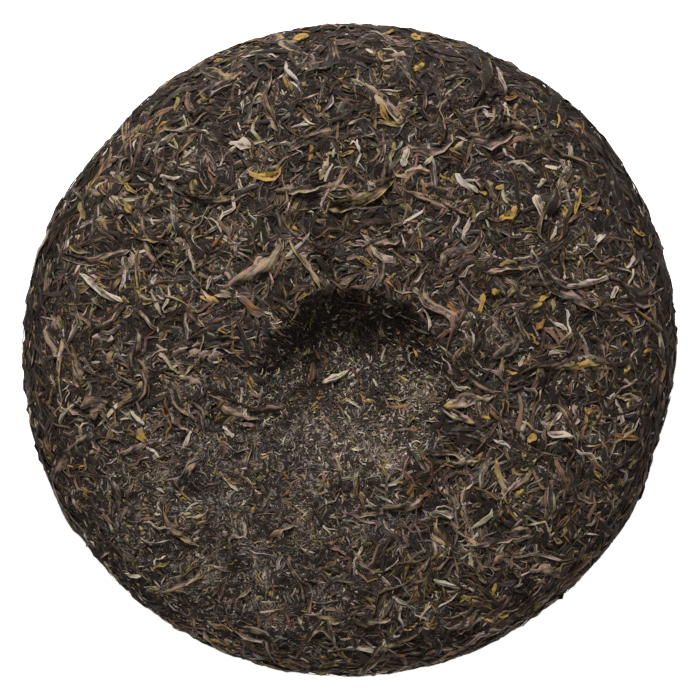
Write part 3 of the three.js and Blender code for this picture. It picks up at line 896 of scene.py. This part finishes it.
def leaf_faces(rings, sides):
    """Corner indices of one leaf: a quad for each step along and round, and a fan at each tip.
    Also each corner's share along the leaf and round it, and each face's number of corners."""
    j = np.arange(sides)
    k = (j + 1) % sides
    shares = ring_places(rings) + 0.5
    ring = 1 + sides * np.arange(rings - 1)[:, None]
    quads = np.stack([ring + j, ring + k, ring + sides + k, ring + sides + j], axis=-1).reshape(-1, 4)
    low, high = shares[1:-2, None] + 0 * j, shares[2:-1, None] + 0 * j
    left, right = (j / sides) + 0 * low, ((j + 1) / sides) + 0 * low
    along = np.stack([low, low, high, high], axis=-1).reshape(-1, 4)
    around = np.stack([left, right, right, left], axis=-1).reshape(-1, 4)
    last, end = 1 + (rings - 1) * sides, 1 + rings * sides
    start_fan = np.stack([0 * j, 1 + k, 1 + j], axis=-1)
    end_fan = np.stack([end + 0 * j, last + j, last + k], axis=-1)
    start_along = np.tile([0, shares[1], shares[1]], (sides, 1))
    end_along = np.tile([1, shares[-2], shares[-2]], (sides, 1))
    start_around = np.stack([j + 0.5, j + 1, j + 0.0], axis=-1) / sides
    end_around = np.stack([j + 0.5, j + 0.0, j + 1], axis=-1) / sides
    corners = np.concatenate([quads.ravel(), start_fan.ravel(), end_fan.ravel()])
    along = np.concatenate([along.ravel(), start_along.ravel(), end_along.ravel()])
    around = np.concatenate([around.ravel(), start_around.ravel(), end_around.ravel()])
    totals = np.concatenate([np.full(len(quads), 4), np.full(2 * sides, 3)])
    return corners, along, around, totals


def leaf_mesh(name, bundles, draw):
    """One mesh of many leaves. The strand map is each leaf unrolled in millimetres, from a drawn start,
    and the bake map gives each leaf one cell of a grid."""
    count = sum(len(bundle.points) for bundle in bundles)
    columns = math.ceil(math.sqrt(count / 2))
    cell = np.array([1 / columns, 1 / math.ceil(count / columns)])
    points, corners, starts, strand, bake, tones, warmths = [], [], [], [], [], [], []
    first_point, first_corner, first_leaf = 0, 0, 0
    for bundle in bundles:
        leaf_corners, along, around, totals = leaf_faces(bundle.rings, bundle.sides)
        leaves, size = bundle.points.shape[:2]
        offsets = first_point + size * np.arange(leaves)[:, None]
        corners.append((leaf_corners[None, :] + offsets).ravel())
        leaf_starts = first_corner + len(along) * np.arange(leaves)[:, None]
        starts.append((face_starts(totals)[None, :] + leaf_starts).ravel())
        start = draw.uniform(0, STRAND_SPREAD, (leaves, 2))
        u = start[:, :1] + along * bundle.length[:, None] / MM
        v = start[:, 1:] + around * bundle.girth[:, None] / MM
        strand.append(np.stack([u, v], axis=-1).reshape(-1, 2))
        index = first_leaf + np.arange(leaves)
        corner_cell = np.stack([index % columns, index // columns], axis=-1)[:, None, :]
        inside = CELL_MARGIN + (1 - 2 * CELL_MARGIN) * np.stack([along, around], axis=-1)[None]
        bake.append(((corner_cell + inside) * cell).reshape(-1, 2))
        points.append(bundle.points.reshape(-1, 3))
        tones.append(bundle.tone.ravel())
        warmths.append(np.repeat(bundle.warmth, size))
        first_point += leaves * size
        first_corner += leaves * len(along)
        first_leaf += leaves
    mesh = surface_mesh(name, np.concatenate(points), np.concatenate(corners), np.concatenate(starts))
    add_map(mesh, STRAND_MAP, np.concatenate(strand))
    add_map(mesh, BAKE_MAP, np.concatenate(bake))
    add_values(mesh, TONE, np.concatenate(tones))
    add_values(mesh, WARMTH, np.concatenate(warmths))
    mesh.set_sharp_from_angle(angle=SHARP_FOLD)
    return mesh


def face_starts(totals):
    """Where each face's corners start, from how many corners the faces have."""
    return np.concatenate([[0], np.cumsum(totals)[:-1]])


def surface_mesh(name, points, corners, starts):
    """A smooth-shaded mesh from arrays of points, of each face's corners, and of where each face starts."""
    mesh = bpy.data.meshes.new(name)
    mesh.vertices.add(len(points))
    mesh.vertices.foreach_set("co", points.astype(np.float32).ravel())
    mesh.loops.add(len(corners))
    mesh.loops.foreach_set("vertex_index", corners.astype(np.int32))
    mesh.polygons.add(len(starts))
    mesh.polygons.foreach_set("loop_start", starts.astype(np.int32))
    mesh.update(calc_edges=True)
    mesh.shade_smooth()
    return mesh


def add_map(mesh, name, places):
    """A UV map with a place for each corner."""
    layer = mesh.uv_layers.new(name=name)
    layer.data.foreach_set("uv", places.astype(np.float32).ravel())


def add_values(mesh, name, values):
    """An attribute with a number for each point."""
    attribute = mesh.attributes.new(name, "FLOAT", "POINT")
    attribute.data.foreach_set("value", values.astype(np.float32))


class Value:
    """What a shader socket gives; Python's operators add the Math nodes for it."""

    def __init__(self, shader, socket):
        self.shader = shader
        self.socket = socket

    def __add__(self, other):
        return self.shader.math("ADD", self, other)

    def __sub__(self, other):
        return self.shader.math("SUBTRACT", self, other)

    def __rsub__(self, other):
        return self.shader.math("SUBTRACT", other, self)

    def __mul__(self, other):
        return self.shader.math("MULTIPLY", self, other)

    __radd__ = __add__
    __rmul__ = __mul__


class Shader:
    """A material's nodes, made one by one with node() and with expressions on Values."""

    def __init__(self, name):
        self.material = bpy.data.materials.new(name)
        self.material.use_nodes = True
        self.tree = self.material.node_tree
        self.tree.nodes.clear()

    def node(self, kind, settings=None, sockets=None, output=0):
        """Adds a node, sets its settings and then its sockets' values or links, and gives an output."""
        made = self.tree.nodes.new(kind)
        for key, value in (settings or {}).items():
            if key == "stops":
                self.set_stops(made.color_ramp, value)
            else:
                setattr(made, key, value)
        for key, value in (sockets or {}).items():
            if isinstance(value, Value):
                self.tree.links.new(value.socket, made.inputs[key])
            else:
                made.inputs[key].default_value = value
        return Value(self, made.outputs[output]) if len(made.outputs) else made

    def set_stops(self, ramp, stops):
        """Gives a ramp its stops, each a position and a colour."""
        while len(ramp.elements) < len(stops):
            ramp.elements.new(1)
        for element, (position, colour) in zip(ramp.elements, stops):
            element.position = position
            element.color = (*colour, 1)

    def math(self, operation, first, second, clamp=False):
        """A Math node on two numbers or Values."""
        settings = {"operation": operation, "use_clamp": clamp}
        return self.node("ShaderNodeMath", settings, {0: first, 1: second})

    def mask(self, value, steepness):
        """A value times a steepness, held between 0 and 1."""
        return self.math("MULTIPLY", value, steepness, clamp=True)

    def scaled(self, vector, scale):
        """A vector times a scale for each axis."""
        return self.node("ShaderNodeVectorMath", {"operation": "MULTIPLY"}, {0: vector, 1: scale})

    def moved(self, vector, shift):
        """A vector plus a shift."""
        return self.node("ShaderNodeVectorMath", {"operation": "ADD"}, {0: vector, 1: shift})

    def blend(self, first, second, share):
        """A colour between two, by a share."""
        return self.node("ShaderNodeMix", {"data_type": "RGBA"}, {0: share, 6: first, 7: second}, 2)

    def noise(self, vector, scale, detail, roughness=0.55, output="Fac"):
        """Noise about 0.5 at places of a vector."""
        sockets = {"Vector": vector, "Scale": scale, "Detail": detail, "Roughness": roughness}
        return self.node("ShaderNodeTexNoise", None, sockets, output)

    def attribute(self, name):
        """A number that each point of the mesh has."""
        return self.node("ShaderNodeAttribute", {"attribute_name": name}, None, "Fac")

    def place(self):
        """Places in the object's own metres."""
        return self.node("ShaderNodeTexCoord", None, None, "Object")

    def ramp(self, stops, share):
        """The colour at a share of the way along stops, each a position and a colour."""
        return self.node("ShaderNodeValToRGB", {"stops": stops}, {"Fac": share}, "Color")

    def bump(self, height, strength, distance):
        """A normal that follows a height."""
        sockets = {"Strength": strength, "Distance": distance, "Height": height}
        return self.node("ShaderNodeBump", None, sockets, "Normal")

    def finish(self, sockets):
        """Gives the material a plain surface with these sockets."""
        surface = self.node("ShaderNodeBsdfPrincipled", None, sockets, "BSDF")
        self.node("ShaderNodeOutputMaterial", None, {"Surface": surface})
        return self.material


def mixed(first, second, share):
    """A colour between two."""
    return tuple(a + (b - a) * share for a, b in zip(first, second))


def leaf_stops(dark, light, gain):
    """A leaf's ramp: nearly black in its depths, then dark, light, and light times a gain."""
    palest = tuple(min(1, part * gain) for part in light)
    return (0.0, mixed(dark, BLACK, 0.25)), (0.3, dark), (0.7, light), (1.0, palest)


def leaf_material(
    name, dark, light, warm, roughness, mottle=1.0, grain=2.2, fibres=2.2, warm_from=0.76, gain=1.9
):
    """Dried leaf. A leaf's tone, which holds its painted highlights and painted shade as well as its own
    tone, fibres along it and blotches choose a colour between dark and light, or for warm leaves and warm
    patches between dark and warm. Leaves and patches that are least warm get a cool cast, and mossy places
    a green one and the rest a plum one. Fibres and wrinkles also raise it."""
    shader = Shader(name)
    strand = shader.node("ShaderNodeUVMap", {"uv_map": STRAND_MAP})
    place = shader.place()
    warmth = shader.attribute(WARMTH)
    fibre = shader.noise(shader.scaled(strand, (0.1 * grain, grain, 1)), 1.0, 3)
    wrinkle = shader.noise(shader.scaled(strand, (1.1, 1.9, 1)), 1.0, 2)
    blotch = shader.noise(place, BLOTCH_SCALE, 4, 0.65)
    patch = shader.noise(place, PATCH_SCALE, 3)
    shade = shader.attribute(TONE) * TONE_WEIGHT + (fibre - 0.5) * fibres + (blotch - 0.5) * mottle
    shade = shade + SHADE_LEVEL
    plain = shader.ramp(leaf_stops(dark, light, gain), shade)
    tinted = shader.ramp(leaf_stops(dark, warm, gain), shade)
    warm_share = shader.mask(warmth + (patch - 0.5) * WARM_PATCHES - warm_from, WARM_STEEPNESS)
    cool_share = shader.mask(COOL_UNDER - warmth + (patch - 0.5) * COOL_PATCHES, COOL_STEEPNESS)
    mossy = shader.mask(shader.noise(place, MOSS_SCALE, 2) - MOSS_FROM, MOSS_STEEPNESS)
    colour = shader.blend(plain, tinted, warm_share)
    colour = shader.blend(colour, shader.scaled(colour, COOL_CAST), cool_share)
    colour = shader.blend(shader.scaled(colour, PLUM_CAST), shader.scaled(colour, MOSS_CAST), mossy)
    dull = roughness + (blotch - 0.5) * 0.4 + (fibre - 0.5) * 0.2
    normal = shader.bump(fibre * 0.65 + wrinkle * 0.35, 0.8, LEAF_RELIEF)
    return shader.finish(
        {"Base Color": colour, "Roughness": dull, "Normal": normal, "Specular IOR Level": LEAF_SHEEN}
    )


def core_material(colours):
    """The bed under the leaves: matted leaf dust, in fine strands that cross two ways and are bent by a
    slow noise, with cooler places. Its tone holds the painted shade of the rim and the painted shadow of
    the dimple."""
    shader = Shader("leaf_bed")
    place = shader.place()
    bend = shader.noise(place, BED_BEND_SCALE, 1, 0.5, "Color")
    place = shader.moved(place, shader.scaled(bend, BED_BEND))
    first, second = (shader.noise(shader.scaled(place, strands), 1.0, 3) for strands in BED_STRANDS)
    blotch = shader.noise(place, BED_BLOTCH_SCALE, 3)
    shade = shader.math("MAXIMUM", first, second) * 2.9 + (blotch - 0.5) * 0.7
    shade = shade + shader.attribute(TONE) * 0.45 - 1.2
    dark, ash = colours.dark, colours.ash
    pale = mixed(ash, colours.bloom, 0.8)
    colour = shader.ramp(((0.25, mixed(dark, BLACK, 0.3)), (0.5, dark), (0.75, ash), (1.0, pale)), shade)
    cool_share = shader.mask(shader.noise(place, BED_COOL_SCALE, 2) - 0.4, 4.0)
    colour = shader.blend(colour, shader.scaled(colour, COOL_CAST), cool_share)
    normal = shader.bump(first + second, 0.9, BED_RELIEF)
    return shader.finish(
        {"Base Color": colour, "Roughness": 0.9, "Normal": normal, "Specular IOR Level": BED_SHEEN}
    )


def add_object(name, data):
    """Puts a new object into the scene."""
    made = bpy.data.objects.new(name, data)
    bpy.context.scene.collection.objects.link(made)
    return made


def add_piece(mesh, material):
    """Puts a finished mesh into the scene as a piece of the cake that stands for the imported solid."""
    mesh.materials.append(material)
    piece = add_object(mesh.name, mesh)
    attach(piece, BODY)
    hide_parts(NODE)


def lay_kind(name, kind, count, seed, material, chosen=None, clear=0, discs=(), blade=False):
    """One piece of all the leaves of a kind, on both faces and in its discs of the back."""
    scene = bpy.context.scene
    surface = CakeSurface(scene.cake_form)
    draw = np.random.default_rng(FIRST_DRAW + seed)
    front_count = round(count * scene.leaf_mix.front_share)
    groups = [
        draw_leaves(surface, "back", kind, count, draw, clear=clear),
        draw_leaves(surface, "front", kind, front_count, draw),
    ]
    groups += [draw_leaves(surface, "back", kind, number, draw, disc) for number, disc in discs]
    laid = [(leaves, kind.dip, SWAY) for leaves in groups]
    if chosen:
        laid.append((eye_catching(surface, chosen, kind, draw), kind.dip * CHOSEN_DIP, CHOSEN_SWAY))
    shape = blade_section if blade else rolled_section
    bundles = []
    for leaves, dip, sway in laid:
        path = lay_path(surface, leaves, kind.rings, dip, draw, sway)
        bundles.append(sweep(path, shape(leaves, path, kind.sides, kind.twist, draw), leaves, draw))
    add_piece(leaf_mesh(name, bundles, draw), material)


class TEACAKE_OT_leaf_bed(bpy.types.Operator):
    """Adds the bed of leaf dust that shows between the leaves"""

    bl_idname = "teacake.leaf_bed"
    bl_label = "Leaf bed"

    def execute(self, context):
        """Rings round the cake, raised by bumps and heaps from a level a little under its bare surface,
        which is lower by the rim and higher where the leaf is matted."""
        surface = CakeSurface(context.scene.cake_form)
        angle = 2 * math.pi * np.arange(BED_AROUND) / BED_AROUND
        points, tones = [], []
        for face, (nearest, spacing, seed) in BED_RINGS.items():
            distances = np.arange(nearest, surface.length / 2, spacing)
            if face == "back":
                distances = distances[::-1]
            x = distances[:, None] * np.cos(angle)
            y = distances[:, None] * np.sin(angle)
            draw = np.random.default_rng(FIRST_DRAW + seed)
            bumps = sum(height * ripple(x, y, length, draw) for height, length in BED_BUMPS)
            by_rim = surface.rim_share(x, y)
            matted = surface.matted(x, y) if face == "back" else 0 * x
            rise = bumps * (1 - MATTED_FLATTEN * matted) + heap(x, y) * (1 - by_rim)
            rise = rise - BED_SINK + MATTED_RAISE * matted - BED_RIM_SINK * by_rim
            place = surface.on_face(face, x, y) + surface.outward(face, x, y) * rise[..., None]
            points.append(place.reshape(-1, 3))
            # The bed's tone takes the painted rim shade and dimple shadow too.
            tones.append((shade_of(face, x, y, surface) + BED_TONE + MATTED_TONE * matted).ravel())
        low, high = (surface.on_face(face, 0, 0)[None] for face in BED_RINGS)
        points = np.concatenate([low + [0, 0, BED_SINK], *points, high - [0, 0, BED_SINK]])
        points[:, 2] = np.maximum(points[:, 2], BED_LOWEST)
        corners, along, turns, totals = leaf_faces(len(points) // BED_AROUND, BED_AROUND)
        mesh = surface_mesh("leaf_bed", points, corners, face_starts(totals))
        add_map(mesh, BAKE_MAP, np.stack([along, turns], axis=-1))
        add_values(mesh, TONE, np.concatenate([[0], *tones, [0]]))
        add_piece(mesh, core_material(context.scene.leaf_colours))
        return {"FINISHED"}


class TEACAKE_OT_pressed_leaves(bpy.types.Operator):
    """Adds the big leaves that the solid has too"""

    bl_idname = "teacake.pressed_leaves"
    bl_label = "Big pressed leaves"

    def execute(self, context):
        """Each leaf has the place, turn and size of the solid's: an even share of a face, and the
        fractions of the multiples of irrational roots."""
        surface = CakeSurface(context.scene.cake_form)
        draw = np.random.default_rng(FIRST_DRAW + 1)
        bundles = [self.fold(surface, self.lay(surface, face, draw), draw) for face in PRESSED_LEAVES]
        bundles.append(self.fold(surface, self.middle_leaf(), draw))
        colours = context.scene.leaf_colours
        material = leaf_material(
            "big_leaf", colours.dark, mixed(colours.brown, colours.bloom, 0.3), colours.khaki, 0.6,
            warm_from=0.96, grain=1.3, fibres=3.6, mottle=2.0,
        )
        add_piece(leaf_mesh("big_pressed_leaves", bundles, draw), material)
        return {"FINISHED"}

    def lay(self, surface, face, draw):
        """The leaves of a face, clear of the dimple or of the front's middle leaf."""
        k = np.arange(PRESSED_LEAVES[face])
        n = k + (0 if face == "back" else 0.5)
        reach = surface.length / 2 * np.sqrt((k + 0.5) / len(k))
        x, y = reach * np.cos(n * GOLDEN_ANGLE), reach * np.sin(n * GOLDEN_ANGLE)
        share = {root: (n * math.sqrt(root)) % 1 for root in (2, 3, 5, 7, 11)}
        sunk = 2 * FINE_SINK * finely_broken(x, y) if face == "back" else 0
        leaves = Leaves(
            face=face, x=x, y=y, heading=2 * math.pi * share[2], length=between(PRESSED_LENGTH, share[3]),
            width=between(PRESSED_WIDTH, share[5]), thickness=np.full(len(k), PRESSED_THICKNESS),
            bend=PRESSED_BEND * (2 * share[11] - 1),
            lift=between(PRESSED_LIFT, share[7]) - sunk,
            tone=between(PRESSED_TONE, draw.random(len(k)) ** SHORT_POWER) + shade_of(face, x, y, surface),
            warmth=draw.random(len(k)),
        )
        if face == "back":
            return leaves.only(np.hypot(*surface.from_dimple(x, y)) > 1)
        return leaves.only(np.hypot(x, y) > MIDDLE_LEAF["length"] / 2)

    def middle_leaf(self):
        """The broad leaf in the middle of the front, whose face the cake rests on."""
        shape = {key: np.array([value]) for key, value in MIDDLE_LEAF.items()}
        zero = np.zeros(1)
        return Leaves(face="front", x=zero, y=zero, thickness=zero + PRESSED_THICKNESS, warmth=zero, **shape)

    def fold(self, surface, leaves, draw):
        """Leaves folded along the midrib, their edges pressed in."""
        path = lay_path(surface, leaves, PRESSED_RINGS, PRESSED_DIP, draw)
        section = blade_section(leaves, path, PRESSED_HALF_SIDES, PRESSED_TWIST, draw)
        return sweep(path, section, leaves, draw)


class TEACAKE_OT_rolled_leaves(bpy.types.Operator):
    """Adds the dark twisted leaves, long and short"""

    bl_idname = "teacake.rolled_leaves"
    bl_label = "Rolled leaves"

    def execute(self, context):
        colours, mix = context.scene.leaf_colours, context.scene.leaf_mix
        dark, brown, khaki = colours.dark, colours.brown, colours.khaki
        ochre = mixed(khaki, colours.tan, 0.4)
        long_leaf = leaf_material("long_leaf", dark, brown, khaki, 0.56, mottle=1.3, fibres=3.0)
        short_leaf = leaf_material("short_leaf", dark, brown, ochre, 0.58, mottle=1.3)
        lay_kind("long_rolled_leaves", LONG_ROLLED, mix.long_rolled, 2, long_leaf, clear=1.0)
        lay_kind("short_rolled_leaves", SHORT_ROLLED, mix.short_rolled, 3, short_leaf, clear=0.93)
        return {"FINISHED"}


class TEACAKE_OT_grey_leaves(bpy.types.Operator):
    """Adds the leaves with a grey bloom"""

    bl_idname = "teacake.grey_leaves"
    bl_label = "Grey leaves"

    def execute(self, context):
        colours, mix = context.scene.leaf_colours, context.scene.leaf_mix
        material = leaf_material(
            "grey_leaf", colours.ash, colours.bloom, colours.khaki, 0.62, warm_from=0.86
        )
        lay_kind("grey_leaves", GREY, mix.grey, 4, material, clear=0.95)
        return {"FINISHED"}


class TEACAKE_OT_broad_leaves(bpy.types.Operator):
    """Adds the flat crumpled leaves"""

    bl_idname = "teacake.broad_leaves"
    bl_label = "Broad leaves"

    def execute(self, context):
        colours, mix = context.scene.leaf_colours, context.scene.leaf_mix
        material = leaf_material(
            "broad_leaf", colours.dark, mixed(colours.brown, colours.bloom, 0.5), colours.khaki, 0.7,
            warm_from=0.56, grain=1.2, mottle=1.5,
        )
        lay_kind("broad_leaves", BROAD, mix.broad, 5, material, "broad", clear=1.25, blade=True)
        return {"FINISHED"}


class TEACAKE_OT_light_leaves(bpy.types.Operator):
    """Adds the pale buds, the golden flakes and the rust-brown stems"""

    bl_idname = "teacake.light_leaves"
    bl_label = "Buds, flakes and stems"

    def execute(self, context):
        colours, mix = context.scene.leaf_colours, context.scene.leaf_mix
        bud = leaf_material(
            "bud_down", colours.bud_shade, colours.bud, mixed(colours.bud, colours.gold, 0.4), 0.75,
            gain=1.1, grain=1.6, mottle=1.7,
        )
        flake = leaf_material(
            "golden_flake", colours.olive, colours.khaki, colours.gold, 0.7,
            warm_from=0.66, gain=1.2, grain=1.6, mottle=2.2,
        )
        stem = leaf_material(
            "stem_bark", colours.rust, mixed(colours.rust, colours.bloom, 0.4), colours.tan, 0.7, gain=1.2
        )
        lay_kind("pale_buds", BUD, mix.buds, 6, bud, "buds", clear=0.95)
        lay_kind("golden_flakes", FLAKE, mix.flakes, 7, flake, "flakes", blade=True)
        lay_kind("stems", STEM, mix.stems, 8, stem, "stems")
        return {"FINISHED"}


class TEACAKE_OT_fine_leaf(bpy.types.Operator):
    """Adds the shreds, the fine shreds and the crumbs"""

    bl_idname = "teacake.fine_leaf"
    bl_label = "Shreds and crumbs"

    def execute(self, context):
        """The dimple and the finer patch are discs of the back: a middle and a radius."""
        form, colours, mix = context.scene.cake_form, context.scene.leaf_colours, context.scene.leaf_mix
        dust, bloom = mixed(colours.dark, colours.ash, 0.4), colours.bloom
        shred = leaf_material("shred", colours.dark, bloom, mixed(colours.rust, colours.tan, 0.6), 0.62)
        fines = leaf_material("fine_shred", dust, bloom, colours.khaki, 0.62)
        crumb = leaf_material(
            "crumb", dust, bloom, mixed(colours.rust, colours.tan, 0.7), 0.7, warm_from=0.86
        )
        dimple = (form.dimple_x, form.dimple_y), form.dimple_radius * DIMPLE_FILL
        patch = (FINE_PATCH["x"], FINE_PATCH["y"]), FINE_PATCH["radius"]
        fine_discs = (mix.dimple_fines, dimple), (mix.patch_fines, patch)
        crumb_discs = (mix.dimple_crumbs, dimple), (mix.patch_crumbs, patch)
        lay_kind("shreds", SHRED, mix.shreds, 9, shred)
        lay_kind("fine_shreds", FINE, mix.fines, 10, fines, discs=fine_discs)
        lay_kind("crumbs", CRUMB, mix.crumbs, 11, crumb, discs=crumb_discs)
        return {"FINISHED"}


class TEACAKE_OT_stage(bpy.types.Operator):
    """Adds the floor, the lights and the camera"""

    bl_idname = "teacake.stage"
    bl_label = "Stage"

    def execute(self, context):
        studio = context.scene.studio
        self.add_floor(studio)
        self.add_lights(studio)
        self.add_camera(studio)
        context.scene.view_settings.view_transform = "Standard"
        return {"FINISHED"}

    def add_floor(self, studio):
        """A wide plain square just under the cake, a little bright of itself so that its shadow is faint."""
        mesh = bpy.data.meshes.new("floor")
        sides = ((-1, -1), (1, -1), (1, 1), (-1, 1))
        corners = [(x * FLOOR_REACH, y * FLOOR_REACH, 0) for x, y in sides]
        mesh.from_pydata(corners, [], [(0, 1, 2, 3)])
        mesh.update()
        sockets = {"Base Color": (*studio.floor, 1), "Roughness": 0.9, "Specular IOR Level": 0.2}
        sockets.update({"Emission Color": (1, 1, 1, 1), "Emission Strength": FLOOR_GLOW})
        mesh.materials.append(Shader("floor").finish(sockets))
        floor = add_object("floor", mesh)

    def add_lights(self, studio):
        """A square key light beyond +Y, and an even pale surround."""
        height, turn = studio.key_height, studio.key_turn
        data = bpy.data.lights.new("key", "AREA")
        data.energy = studio.key_power
        data.color = KEY_COLOUR
        data.size = KEY_SIZE
        key = add_object("key", data)
        away = KEY_DISTANCE * math.cos(height)
        key.location = (away * math.sin(turn), away * math.cos(turn), KEY_DISTANCE * math.sin(height))
        key.rotation_euler = (math.pi / 2 - height, 0, math.pi - turn)
        world = bpy.data.worlds.new("surround")
        world.use_nodes = True
        background = world.node_tree.nodes["Background"]
        background.inputs["Color"].default_value = FILL_COLOUR
        background.inputs["Strength"].default_value = studio.fill
        bpy.context.scene.world = world

    def add_camera(self, studio):
        """Straight above the cake, as far up as its lens needs to see the view width at the rim's height."""
        data = bpy.data.cameras.new("camera")
        data.lens = studio.lens
        data.sensor_width = SENSOR_WIDTH
        camera = add_object("camera", data)
        camera.location = (0, 0, RIM_HEIGHT + studio.view_width * studio.lens / SENSOR_WIDTH)
        bpy.context.scene.camera = camera


class TEACAKE_PT_parts(bpy.types.Panel):
    """Lists the operators and the sizes and colours that they read"""

    bl_label = "Tea Cake"
    bl_idname = "TEACAKE_PT_parts"
    bl_space_type = "VIEW_3D"
    bl_region_type = "UI"
    bl_category = "Tea Cake"

    def draw(self, context):
        for operator in OPERATORS:
            self.layout.operator(operator.bl_idname)
        for name in SETTINGS:
            box = self.layout.box()
            group = getattr(context.scene, name)
            for key in group.__annotations__:
                box.prop(group, key)


SETTINGS = {"cake_form": CakeForm, "leaf_mix": LeafMix, "leaf_colours": LeafColours, "studio": Studio}
OPERATORS = (
    TEACAKE_OT_leaf_bed,
    TEACAKE_OT_pressed_leaves,
    TEACAKE_OT_rolled_leaves,
    TEACAKE_OT_grey_leaves,
    TEACAKE_OT_broad_leaves,
    TEACAKE_OT_light_leaves,
    TEACAKE_OT_fine_leaf,
    TEACAKE_OT_stage,
)


def register():
    """Registers the classes and gives the scene their settings."""
    for group in (*SETTINGS.values(), *OPERATORS, TEACAKE_PT_parts):
        bpy.utils.register_class(group)
    for name, group in SETTINGS.items():
        setattr(bpy.types.Scene, name, PointerProperty(type=group))


def unregister():
    """Takes the settings and the classes away again."""
    for name in SETTINGS:
        delattr(bpy.types.Scene, name)
    for group in (TEACAKE_PT_parts, *OPERATORS, *SETTINGS.values()):
        bpy.utils.unregister_class(group)


def main():
    """Builds the whole cake and its stage."""
    register()
    bpy.ops.teacake.leaf_bed()
    bpy.ops.teacake.pressed_leaves()
    bpy.ops.teacake.rolled_leaves()
    bpy.ops.teacake.grey_leaves()
    bpy.ops.teacake.broad_leaves()
    bpy.ops.teacake.light_leaves()
    bpy.ops.teacake.fine_leaf()
    bpy.ops.teacake.stage()


if __name__ == "__main__":
    main()
